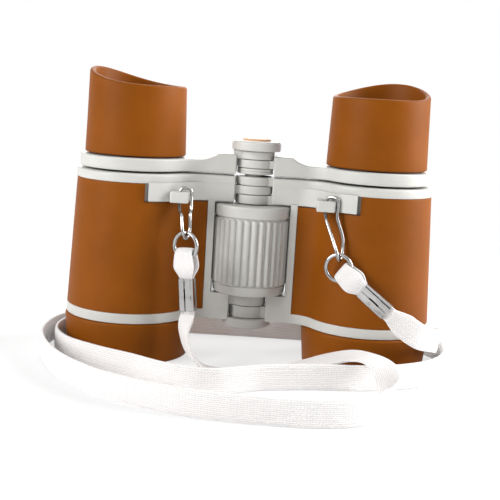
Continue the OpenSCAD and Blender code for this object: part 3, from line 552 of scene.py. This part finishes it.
def lug_shape():
    """The lug round its wire hole: for each direction from the hole, a point of the hole's rim
    and a point of the rounded block, with both edges eased above and below."""
    a = circle(96)
    ray = np.column_stack([np.cos(a), np.sin(a)])
    front, back, half = LUG_Y + HOLE_Y, 5.0, LUG_W / 2
    ahead = np.where(ray[:, 1] < 0, front, back)
    far = ((np.abs(ray[:, 0]) / half) ** 9 + (np.abs(ray[:, 1]) / ahead) ** 9) ** (-1 / 9)
    e, z0, z1 = 0.35, BLOCK_Z, LUG_TOP
    steps = [(far - e, z0), (far - e * 0.3, z0 + e * 0.3), (far, z0 + e), (far, z1 - e),
             (far - e * 0.3, z1 - e * 0.3), (far - e, z1), (LUG_HOLE_R + e, z1), (LUG_HOLE_R, z1 - e),
             (LUG_HOLE_R, z0 + e), (LUG_HOLE_R + e, z0)]
    net = np.stack([np.column_stack([ray * np.broadcast_to(d, a.shape)[:, None] + [-LUG_X, HOLE_Y],
                                     np.full(len(a), z)]) for d, z in steps])
    return shell(net, close_rows=True)


def knuckle(z0, z1):
    """A hinge ring with eased edges, and the tongue that joins it to the web."""
    ring = shell(turned(round_corners([[0, z0], [KNUCKLE_R, z0], [KNUCKLE_R, z1], [0, z1]],
                                      [0, 0.3, 0.3, 0], closed=False), sides=96))
    return joined(ring, prism(oblong(-WEB_END - 1, 0, KNUCKLE_R * 0.66), z0, z1))


def body_shape(spans):
    """All the shells of one grey half, in the place of the left one."""
    return joined(
        plate(BAND_R, BAND_Z, COVER_Z, 0.3, 0.35, BARREL_BORE),
        plate(FLANGE_R, FLANGE_Z, BARREL_TOP, 0.25, 0.8, FLANGE_BORE),
        plate(BLOCK_R, BLOCK_Z, FLANGE_Z + 0.3, 0.4, 0.02, BARREL_BORE, stop=BLOCK_START),
        shell(turned(TUBE, -AX), close_rows=True), web_strip(STRIP_Z, BLOCK_Z + 0.5), lug_shape(),
        lower_web(), *[knuckle(*span) for span in spans])


LEFT_SPANS = [(50.85, 53.4), (17.05, 20.5)]
RIGHT_SPANS = [(48.0, 50.7), (53.55, 56.1), (13.3, 16.9)]
halves = [body_shape(LEFT_SPANS), mirrored(body_shape(RIGHT_SPANS))]
make_pair("grey_body", halves, "half", "barrel")

# %% [markdown]
# The brown grip shell wraps a barrel and its web, and it is notched at the top round the block.
# A Boolean could cut the notch, but leaves ragged faces. Here the net has a column and a row just
# where the notch runs, so the faces inside it are simply left out. Solidify then gives the wall
# and Bevel the round edges.

# %% Brown covers
COVER_LOW, COVER_HIGH, COVER_T, EDGE_ROUND = 18.95, 17.0, 1.3, 0.42
NOTCH_X, NOTCH_Z, NOTCH_ROW = BLOCK_START - 1.1, BLOCK_Z - 0.3, 40
ON_WEB, ON_HOLLOW, TO_NOTCH = 9, 16, 11


def cover_line(r):
    """Half plan of the cover's face at barrel radius r. ON_WEB points lie on the web, ON_HOLLOW on
    the hollow, and TO_NOTCH on the barrel, up to where the notch begins."""
    run = math.sqrt((r + FILLET) ** 2 - (WEB + FILLET) ** 2)
    turn = math.atan2(WEB + FILLET, run)
    begin = max((AX - COVER_EDGE - run) / FILLET, -1.0)
    begin = math.acos(begin) if begin < 0 else np.pi / 2
    flat_to = run - AX if begin == np.pi / 2 else -COVER_EDGE
    x = np.linspace(-COVER_EDGE, flat_to, ON_WEB + 1)[:-1]
    straight = np.column_stack([x, np.full_like(x, FILLET * math.sin(begin) - WEB - FILLET)])
    a = np.linspace(begin, np.pi - turn, ON_HOLLOW)
    hollow = np.column_stack([run - AX + FILLET * np.cos(a), FILLET * np.sin(a) - WEB - FILLET])
    split = math.acos(NOTCH_X / r)
    a = np.concatenate([np.linspace(turn, split, TO_NOTCH + 1)[1:], np.linspace(split, np.pi, 52)[1:]])
    barrel = np.column_stack([r * np.cos(a) - AX, -r * np.sin(a)])
    front = np.vstack([straight, hollow, barrel])
    return np.vstack([front, front[-2::-1] * [1, -1]])


def cover_shape():
    """The cover's outer face: its radius falls evenly with height, faces in the notch left out."""
    z = np.concatenate([np.linspace(COVER_Z + 0.05, NOTCH_Z, NOTCH_ROW + 1),
                        np.linspace(NOTCH_Z, FLANGE_Z - 0.05, 8)[1:]])
    r = COVER_LOW + (COVER_HIGH - COVER_LOW) * (z - COVER_Z) / (FLANGE_Z - COVER_Z)
    lines = np.stack([cover_line(radius) for radius in r])
    net = np.dstack([lines, np.broadcast_to(z[:, None], lines.shape[:2])])
    points, faces = shell(net, close_columns=False)
    columns = net.shape[1]
    row, column = faces[:, 0] // columns, faces[:, 0] % columns
    split = ON_WEB + ON_HOLLOW + TO_NOTCH - 1
    inside = (row >= NOTCH_ROW) & ((column < split) | (column >= columns - 1 - split))
    return points, faces[~inside]


def finish_cover(piece):
    """Gives a cover its wall, to the inside, and then its round edges."""
    wall = piece.modifiers.new("wall", "SOLIDIFY")
    wall.thickness, wall.offset, wall.use_even_offset = COVER_T * MM, -1.0, True
    edges = piece.modifiers.new("edges", "BEVEL")
    edges.width, edges.segments, edges.limit_method = EDGE_ROUND * MM, 3, "ANGLE"
    edges.angle_limit, edges.harden_normals = math.radians(50), False


def outward(shape):
    """An open sheet's faces turned so that they look away from the barrel."""
    points, faces = shape
    a, b, c = (points[faces[:, k]] for k in range(3))
    facing = np.cross(b - a, c - a)
    away = a - np.array([np.sign(a[:, 0].mean()) * AX, 0, 0])
    flip = np.sum(facing * away * [1, 1, 0], axis=1).sum() < 0
    return points, faces[:, ::-1] if flip else faces


sheets = [outward(cover_shape()), outward(mirrored(cover_shape()))]
for cover in make_pair("brown_cover", sheets, "half", "cover"):
    finish_cover(cover)

# %% [markdown]
# The sleeves on the objective ends, the hinge plug, the spindle, its cap and the disc are turned.
# Blender's Spin tool would swing a profile too. Here the swing is one multiplication, and the
# profile's corners are rounded first, because a moulded edge always catches a line of light.

# %% Turned pieces
SLEEVE = [[15.15, 0], [18.3, 0], [19.4, 12.3], [16.8, 12.3], [16.8, 1.2], [15.15, 1.2]]
sleeve_profile = round_corners(SLEEVE, [0.3, 0.9, 0.8, 0.1, 0.1, 0.3], steps=8)
sleeves = [shell(turned(sleeve_profile, x), close_rows=True) for x in (-AX, AX)]
make_pair("brown_sleeve", sleeves, "half", "sleeve")

PLUG = round_corners([[0, 10.3], [7.3, 10.3], [7.3, 13.15], [0, 13.15]], [0, 0.7, 0.3, 0], closed=False)
make_piece("turned_plug", shell(turned(PLUG)), "left_half", ["hinge_plug"])
SPINDLE = round_corners(
    [[0, 29.9], [3, 29.9], [3, 56.9], [5.4, 56.9], [5.4, 57.6], [5.15, 57.75], [5.4, 57.9], [5.4, 58.6],
     [3, 58.6], [3, 66.05], [0, 66.05]], [0, 0.2, 0, 0.25, 0.1, 0.1, 0.1, 0.25, 0, 0.2, 0], closed=False)
make_piece("turned_spindle", shell(turned(SPINDLE)), "left_eyepiece", ["focus_spindle"])
CAP = round_corners([[3.1, 63.85], [7.3, 63.85], [7.3, 66.75], [4.35, 66.75], [4.25, 66.2], [3.1, 66.2]],
                    [0.1, 0.35, 0.9, 0.2, 0.05, 0.05], steps=8)
make_piece("turned_cap", shell(turned(CAP), close_rows=True), "left_eyepiece",
           ["spindle_cap"])
DISC = round_corners([[0, 66.17], [4.2, 66.17], [4.2, 67.4], [0, 67.47]], [0, 0.1, 0.4, 0], closed=False)
make_piece("turned_disc", shell(turned(DISC)), "left_eyepiece", ["cap_disc"])

# %% [markdown]
# The focusing wheel has a plain rim above and below and 32 ribs with round ends between them.
# An Array modifier could repeat one rib. Here the wheel is one net whose radius depends on angle
# and height, so ribs, valleys and rims flow into each other as in a moulding.

# %% Focusing wheel
WHEEL_Z, WHEEL_TOP, WHEEL_R, RIBS, RIB_R = 20.9, 47.7, 11.6, 32, 0.8
RIM_LOW, RIM_HIGH, TOP_EASE = 3.0, 3.9, 0.5


def wheel_shape(per_rib=14):
    """Radius over angle and height: a core, plus a rounded rib for each 1/32 turn, whose height
    falls off as a circle at both ends, plus the plain rims."""
    low, high = WHEEL_Z + RIM_LOW, WHEEL_TOP - RIM_HIGH
    z = np.concatenate([
        [WHEEL_Z] * 2, np.linspace(WHEEL_Z + 0.05, low, 10), np.linspace(low, low + 1.2, 9)[1:],
        np.linspace(low + 1.2, high - 1.2, 20)[1:], np.linspace(high - 1.2, high, 9)[1:],
        WHEEL_TOP - 3.5 + np.linspace(-0.25, 0.25, 7),
        np.linspace(WHEEL_TOP - 3.2, WHEEL_TOP - TOP_EASE, 7),
        WHEEL_TOP - TOP_EASE + TOP_EASE * np.sin(np.linspace(0, np.pi / 2, 7))[1:], [WHEEL_TOP] * 2])
    core = WHEEL_R - RIB_R
    rim_low = (core + 0.05 + 0.35 * np.clip((z - WHEEL_Z) / RIM_LOW, 0, 1)
               - 0.4 * np.clip(1 - (z - WHEEL_Z) / 0.4, 0, 1) ** 2)
    base = np.where(z < low, rim_low, core)
    step = np.clip((z - WHEEL_TOP + 3.75) / 0.5, 0, 1)
    base = base + (WHEEL_R - core) * step * step * (3 - 2 * step)
    past = np.clip(z - WHEEL_TOP + TOP_EASE, 0, TOP_EASE) / TOP_EASE
    base = base - TOP_EASE * (1 - np.sqrt(np.clip(1 - past ** 2, 0, 1)))
    a = circle(RIBS * per_rib)
    across = (np.arange(RIBS * per_rib) % per_rib) / per_rib - 0.5
    pitch = 2 * np.pi * core / RIBS
    x = across * pitch
    ends = np.minimum(z - low, high - z)
    width = RIB_R * np.sqrt(np.clip(1 - (1 - np.clip(ends / RIB_R, 0, 1)) ** 2, 0, 1))
    rib = np.sqrt(np.clip(width[:, None] ** 2 - x[None, :] ** 2, 0, None))
    radius = base[:, None] + rib
    radius[0], radius[1], radius[-2], radius[-1] = 2.65, 8.0, 9.0, 3.15
    net = np.stack(np.broadcast_arrays(radius * np.cos(a), radius * np.sin(a), z[:, None]), axis=-1)
    return shell(net, close_rows=True)


make_piece("ribbed_wheel", wheel_shape(), "wheel", ["focus_wheel"])

# %% [markdown]
# The eyepiece arms are plates of the same plan as the barrels, and they rise in a smooth ramp
# towards the hinge. The plate's roof takes that rise as a function of x.

# %% Eyepiece arms
ARM_Z, ARM_TOP, ARM_R, RAMP_X, RAMP_R, ARM_RISE = 56.7, 60.4, 16.3, 17.0, 10.0, 2.1
LEFT_KNUCKLE_Z, RIGHT_KNUCKLE_Z, KNUCKLE_TALL = 61.3, 58.75, 2.4


def ramp(x):
    """Height over the plate: an arc that starts level at the ramp's foot, up to the full rise."""
    past = np.clip(x + RAMP_X, 0, RAMP_R - 0.01)
    return np.minimum(RAMP_R - np.sqrt(RAMP_R ** 2 - past ** 2), ARM_RISE)


def arm_shape(z0):
    """The arm's plate with its ramp, and its hinge knuckle."""
    return joined(plate(ARM_R, ARM_Z, ARM_TOP, 0.5, 0.6, ARM_BORE, rise=ramp),
                  knuckle(z0, z0 + KNUCKLE_TALL))


arms = [arm_shape(LEFT_KNUCKLE_Z), mirrored(arm_shape(RIGHT_KNUCKLE_Z))]
make_pair("grey_arm", arms, "eyepiece", "arm")

# %% [markdown]
# Each eyecup is a tapered tube whose rim sweeps up to a wing that keeps stray light out. The rim's
# height is a smooth function of the angle, so the net is a turned profile with its upper part
# lifted by that function.

# %% Eyecups
CUP = [[12.35, 60.8], [15.05, 60.8], [14.4, 81.3], [12.9, 81.3], [11.35, 71.1], [12.35, 71.05]]
WING, WING_POWER, WING_FOOT, WING_FADE = 4.7, 2.7, 71.2, 8.5
LEFT_WING, RIGHT_WING, CUP_SIDES = 160, 64, 192


def cup_shape(x, wing_angle):
    """The turned profile, lifted at its rim by the wing: its height times a power of half one plus
    the cosine of the angle to the wing. The lift fades in above the tube."""
    profile = round_corners(CUP, [0.1, 0.5, 0.75, 0.75, 0.3, 0.1], steps=9)
    t = np.linspace(0, 1, 4, endpoint=False)[None, :, None]
    profile = (np.roll(profile, -1, 0)[:, None] * t + profile[:, None] * (1 - t)).reshape(-1, 2)
    net = turned(profile, x, CUP_SIDES)
    a = circle(CUP_SIDES) - math.radians(wing_angle)
    lift = WING * (0.5 + 0.5 * np.cos(a)) ** WING_POWER
    fade = np.clip((profile[:, 1] - WING_FOOT) / WING_FADE, 0, 1)
    net[..., 2] += fade[:, None] * lift[None, :]
    return shell(net, close_rows=True)


cups = [cup_shape(-AX, LEFT_WING), cup_shape(AX, RIGHT_WING)]
make_pair("brown_eyecup", cups, "cup", "eyecup")

# %% [markdown]
# All the plastics share one effect: a fine moulded grain with soft blotches of shade. It is built
# once as a node group that reads a position and gives a colour, a roughness and a height. Each
# material places the group with its own values, and keeps the Principled shader to itself.

# %% Shader groups
def set_inputs(node, **inputs):
    """Sets a node's inputs by their names, with _ for a space. Returns the node."""
    for key, value in inputs.items():
        node.inputs[key.replace("_", " ")].default_value = value
    return node


def add_node(tree, kind, **inputs):
    """A new node of that kind, with its named inputs set."""
    return set_inputs(tree.nodes.new(kind), **inputs)


def link(tree, *pairs):
    """Links each pair of an output and an input."""
    for start, stop in pairs:
        tree.links.new(start, stop)


def add_bump(tree, shader, height, strength, distance):
    """A Bump node from a height to the shader's normal."""
    bumps = add_node(tree, "ShaderNodeBump", Strength=strength, Distance=distance)
    link(tree, (height, bumps.inputs["Height"]), (bumps.outputs["Normal"], shader.inputs["Normal"]))


def math_node(tree, operation, first, second=None):
    """A Math node whose inputs are sockets or plain numbers. Returns its output."""
    made = tree.nodes.new("ShaderNodeMath")
    made.operation = operation
    for slot_at, value in enumerate((first, second)):
        if value is None:
            continue
        if isinstance(value, (int, float)):
            made.inputs[slot_at].default_value = value
        else:
            tree.links.new(value, made.inputs[slot_at])
    return made.outputs[0]


def new_group(name, inputs, outputs):
    """An empty node group with named sockets, and its two end nodes."""
    group = bpy.data.node_groups.new(name, "ShaderNodeTree")
    for label, kind in inputs:
        group.interface.new_socket(name=label, in_out="INPUT", socket_type="NodeSocket" + kind)
    for label, kind in outputs:
        group.interface.new_socket(name=label, in_out="OUTPUT", socket_type="NodeSocket" + kind)
    return group, group.nodes.new("NodeGroupInput"), group.nodes.new("NodeGroupOutput")


grain, grain_in, grain_out = new_group(
    "moulded_grain",
    [("Position", "Vector"), ("Dark", "Color"), ("Light", "Color"), ("Rough low", "Float"),
     ("Rough high", "Float"), ("Grain scale", "Float")],
    [("Colour", "Color"), ("Roughness", "Float"), ("Height", "Float")])
blotch = add_node(grain, "ShaderNodeTexNoise", Scale=55.0, Detail=3.0, Roughness=0.55)
fine = add_node(grain, "ShaderNodeTexNoise", Detail=2.0, Roughness=0.6)
shade = grain.nodes.new("ShaderNodeMix")
shade.data_type = "RGBA"
spread = add_node(grain, "ShaderNodeMapRange", From_Min=0.3, From_Max=0.7)
rough = grain.nodes.new("ShaderNodeMapRange")
given = grain_in.outputs
link(grain, (given["Position"], blotch.inputs["Vector"]), (given["Position"], fine.inputs["Vector"]),
     (given["Grain scale"], fine.inputs["Scale"]), (blotch.outputs[0], spread.inputs["Value"]),
     (spread.outputs[0], shade.inputs["Factor"]), (given["Dark"], shade.inputs["A"]),
     (given["Light"], shade.inputs["B"]), (fine.outputs[0], rough.inputs["Value"]),
     (given["Rough low"], rough.inputs["To Min"]), (given["Rough high"], rough.inputs["To Max"]),
     (rough.outputs[0], grain_out.inputs["Roughness"]), (fine.outputs[0], grain_out.inputs["Height"]),
     (shade.outputs["Result"], grain_out.inputs["Colour"]))
print("group", grain.name, "nodes", len(grain.nodes))

# %% [markdown]
# Plastics: brown for the grips, pale grey for the body, black inside, and a peach disc. Two
# close shades of each colour keep a surface from looking flat, and the grain's height goes into a
# Bump node, so the light breaks up as it does on a moulded toy.

# %% Plastics
def start_material(name):
    """A material, its node tree, its Principled shader and a node that gives positions."""
    material = bpy.data.materials.new(name)
    material.use_nodes = True
    tree = material.node_tree
    return material, tree, tree.nodes["Principled BSDF"], tree.nodes.new("ShaderNodeTexCoord")


def plastic(name, dark, light, rough, grain_scale, bump, gloss=0.35):
    """The grain group with this plastic's two colours, its roughness range and its grain."""
    material, tree, shader, place = start_material(name)
    effect = tree.nodes.new("ShaderNodeGroup")
    effect.node_tree = grain
    set_inputs(effect, Dark=(*dark, 1), Light=(*light, 1), Rough_low=rough[0], Rough_high=rough[1],
               Grain_scale=grain_scale)
    add_bump(tree, shader, effect.outputs["Height"], bump, 0.0001)
    set_inputs(shader, Specular_IOR_Level=gloss)
    link(tree, (place.outputs["Object"], effect.inputs["Position"]),
         (effect.outputs["Colour"], shader.inputs["Base Color"]),
         (effect.outputs["Roughness"], shader.inputs["Roughness"]))
    return material


materials = {
    "brown_grip": plastic("brown_plastic", (0.182, 0.048, 0.001), (0.224, 0.061, 0.0014),
                          (0.42, 0.58), 2600, 0.35, gloss=0.1),
    "grey_plastic": plastic("pale_grey_plastic", (0.485, 0.482, 0.455), (0.555, 0.551, 0.524),
                            (0.3, 0.42), 2200, 0.2),
    "black_plastic": plastic("black_plastic", (0.012, 0.012, 0.013), (0.022, 0.022, 0.023),
                             (0.35, 0.5), 2400, 0.3),
    "orange_plastic": plastic("peach_plastic", (0.66, 0.37, 0.21), (0.74, 0.45, 0.28),
                              (0.32, 0.45), 2000, 0.2),
}
print("plastics", sorted(materials))

# %% [markdown]
# The plated wire and sheet are bright metal: Metallic is 1 and the colour is a mid grey. Real
# plating is never perfectly even, so the grain group gives it slightly cloudy roughness. The pin
# is steel, paler and a little duller. Glass stays plain, with a faint tint.

# %% Metal and glass
def metal(name, dark, light, rough):
    """Plated metal: the grain group's colours and cloudy roughness on a metallic shader."""
    material = plastic(name, dark, light, rough, 900, 0.03)
    set_inputs(material.node_tree.nodes["Principled BSDF"], Metallic=1.0)
    return material


materials["plated_wire"] = metal("plated_metal", (0.36, 0.355, 0.35), (0.56, 0.555, 0.55), (0.08, 0.2))
materials["steel_pin"] = metal("steel", (0.5, 0.5, 0.52), (0.6, 0.6, 0.62), (0.22, 0.34))


def lens_glass():
    """Clear glass with a slight cool tint; the bump is a very faint ripple of cheap moulding."""
    material, tree, shader, place = start_material("lens_glass")
    set_inputs(shader, Base_Color=(0.9, 0.96, 0.98, 1), Transmission_Weight=1.0, Roughness=0.02, IOR=1.49)
    ripple = add_node(tree, "ShaderNodeTexNoise", Scale=120.0, Detail=1.0)
    link(tree, (place.outputs["Object"], ripple.inputs["Vector"]))
    add_bump(tree, shader, ripple.outputs[0], 0.03, 0.0002)
    return material


materials["lens_glass"] = lens_glass()
print("materials", len(materials))

# %% [markdown]
# The braid's own map runs along the strap in strap widths and across it from 0 to 1. Each rib is a
# plait, whose threads slant one way in one rib and the other way in the next, so the pattern is a
# row of chevrons. It is worked out with Math nodes from the map, at the true size of the threads,
# and it drives a bump and painted shade in the colour, darker in the valleys.

# %% Braid
THREADS_PER_WIDTH, SLANT = 9.0, 1.1


def braid_material():
    """Slanted threads: a sine of the place along the strap plus the place in the rib, with its
    sign changed from rib to rib. A second sine rounds each rib. The colour follows this height:
    painted shade, darker in the valleys between ribs and threads, with random tone from a fine fuzz."""
    material, tree, shader, place = start_material("white_braid")
    parts = tree.nodes.new("ShaderNodeSeparateXYZ")
    tree.links.new(place.outputs["UV"], parts.inputs[0])
    ribs = math_node(tree, "MULTIPLY", parts.outputs["Y"], float(STRAP_RIBS * 2))
    sign = math_node(tree, "SIGN", math_node(tree, "SINE", math_node(tree, "MULTIPLY", ribs, math.pi)))
    within = math_node(tree, "FRACT", ribs)
    lean = math_node(tree, "MULTIPLY", math_node(tree, "MULTIPLY", within, sign), SLANT)
    along = math_node(tree, "MULTIPLY", parts.outputs["X"], THREADS_PER_WIDTH)
    slanted = math_node(tree, "ADD", along, lean)
    wave = math_node(tree, "SINE", math_node(tree, "MULTIPLY", slanted, 2 * math.pi))
    hump = math_node(tree, "SINE", math_node(tree, "MULTIPLY", within, math.pi))
    height = math_node(tree, "ADD", math_node(tree, "MULTIPLY", wave, 0.35), hump)
    fuzz = add_node(tree, "ShaderNodeTexNoise", Scale=3200.0, Detail=3.0)
    tree.links.new(place.outputs["Object"], fuzz.inputs["Vector"])
    height = math_node(tree, "ADD", height, math_node(tree, "MULTIPLY", fuzz.outputs[0], 0.5))
    # Painted shade: the colour is darker where the braid is low, in the valleys between ribs and threads;
    # the fuzz adds random tone.
    valley_shade_and_fuzz = add_node(tree, "ShaderNodeMapRange", From_Min=0.1, From_Max=1.3)
    shade = tree.nodes.new("ShaderNodeMix")
    shade.data_type = "RGBA"
    set_inputs(shade, A=(0.62, 0.6, 0.59, 1), B=(0.86, 0.845, 0.84, 1))
    add_bump(tree, shader, height, 0.8, 0.00012)
    set_inputs(shader, Roughness=0.75, Sheen_Weight=0.25, Subsurface_Weight=0.5, Subsurface_Scale=0.0015,
               Subsurface_Radius=(1, 1, 1))
    link(tree, (height, valley_shade_and_fuzz.inputs["Value"]), (valley_shade_and_fuzz.outputs[0], shade.inputs["Factor"]),
         (shade.outputs["Result"], shader.inputs["Base Color"]))
    return material


materials["white_braid"] = braid_material()
print("braid threads per width", THREADS_PER_WIDTH)

# %% [markdown]
# Every visible mesh takes one of the materials: the first in a short table whose word is in its
# name. All the rest is grey.

# %% Dress the pieces
SLOT_OF = {"braid": "white_braid", "wire": "plated_wire", "crimp": "plated_wire", "brown": "brown_grip",
           "disc": "orange_plastic", "hinge_pin": "steel_pin", "lens_ring": "black_plastic",
           "ocular_ring": "black_plastic", "eye_tube": "black_plastic", "objective": "lens_glass",
           "ocular": "lens_glass"}
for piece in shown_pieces():
    slot = next((s for word, s in SLOT_OF.items() if word in piece.name), "grey_plastic")
    piece.data.materials.clear()
    piece.data.materials.append(materials[slot])

# %% [markdown]
# The studio is a white floor with three soft boxes, one of them behind, and a dark card that shows
# only in reflections and through glass. Near the object the floor keeps a faint shadow, and farther
# out its own glow makes it white. What the camera sees behind is white from the world's own colour.

# %% Floor, world and lamps
HALF_FLOOR = 4.0
TARGET = np.array([0.0, 0.0, 0.04])
CARD_LEFT, CARD_RIGHT, CARD_Y, CARD_TOP = -0.3, 0.12, -0.7, 0.5


def board(name, corners):
    """A flat board of the stage, from its four corners."""
    mesh = bpy.data.meshes.new(name)
    mesh.from_pydata(corners, [], [(0, 1, 2, 3)])
    made = add_object(name, mesh)
    return made


floor = board("floor", [(-HALF_FLOOR, -HALF_FLOOR, 0), (HALF_FLOOR, -HALF_FLOOR, 0),
                        (HALF_FLOOR, HALF_FLOOR, 0), (-HALF_FLOOR, HALF_FLOOR, 0)])


def seen_directly(tree):
    """One for rays that show the background: from the camera, in a reflection or through glass."""
    rays = tree.nodes.new("ShaderNodeLightPath")
    seen = math_node(tree, "MAXIMUM", rays.outputs["Is Camera Ray"], rays.outputs["Is Glossy Ray"])
    return math_node(tree, "MAXIMUM", seen, rays.outputs["Is Transmission Ray"])


floor_material, tree, shader, place = start_material("pale_floor")
tree.nodes.remove(shader)
matt = add_node(tree, "ShaderNodeBsdfDiffuse", Color=(0.9, 0.9, 0.9, 1))
glow = add_node(tree, "ShaderNodeEmission", Color=(1, 1, 1, 1), Strength=1.0)
both = tree.nodes.new("ShaderNodeMixShader")
NEAR, FAR, GLOW_NEAR = 0.09, 0.32, 0.6
reach = tree.nodes.new("ShaderNodeVectorMath")
reach.operation = "LENGTH"
fade = add_node(tree, "ShaderNodeMapRange", From_Min=NEAR, From_Max=FAR, To_Min=GLOW_NEAR, To_Max=1.0)
fade.interpolation_type = "SMOOTHSTEP"
share = math_node(tree, "MULTIPLY", seen_directly(tree), fade.outputs[0])
link(tree, (place.outputs["Object"], reach.inputs[0]), (reach.outputs["Value"], fade.inputs["Value"]),
     (share, both.inputs[0]), (matt.outputs[0], both.inputs[1]), (glow.outputs[0], both.inputs[2]),
     (both.outputs[0], tree.nodes["Material Output"].inputs["Surface"]))
floor.data.materials.append(floor_material)

world = bpy.data.worlds.new("studio")
bpy.context.scene.world = world
world.use_nodes = True
tree = world.node_tree
background = tree.nodes["Background"]
set_inputs(background, Color=(1, 1, 1, 1))
WORLD_LIGHT = 0.3
lift = math_node(tree, "MULTIPLY", seen_directly(tree), 1.0 - WORLD_LIGHT)
tree.links.new(math_node(tree, "ADD", lift, WORLD_LIGHT), background.inputs["Strength"])


def soft_box(name, at, size, watts):
    """A square area lamp that faces the object."""
    data = bpy.data.lights.new(name, "AREA")
    data.energy, data.size = watts, size
    lamp = add_object(name, data)
    back = unit(np.array(at) - TARGET)
    side = unit(np.cross([0, 0, 1.0], back))
    set_down(lamp, side, np.cross(back, side), back, at)


card = board("dark_card", [(CARD_LEFT, CARD_Y, 0.0), (CARD_RIGHT, CARD_Y, 0.0),
                           (CARD_RIGHT, CARD_Y, CARD_TOP), (CARD_LEFT, CARD_Y, CARD_TOP)])
card_material = bpy.data.materials.new("dark_card")
card_material.use_nodes = True
set_inputs(card_material.node_tree.nodes["Principled BSDF"], Base_Color=(0.03, 0.03, 0.03, 1))
card.data.materials.append(card_material)
card.visible_camera = card.visible_shadow = card.visible_diffuse = False
soft_box("right_box", (0.8, 0.05, 0.4), 0.6, 15.0)
soft_box("left_box", (-0.7, -0.45, 0.4), 0.5, 8.0)
soft_box("back_box", (0.0, 0.8, 0.45), 0.7, 5.0)
bpy.context.scene.view_settings.view_transform = "Standard"
print("lamps", len(bpy.data.lights))
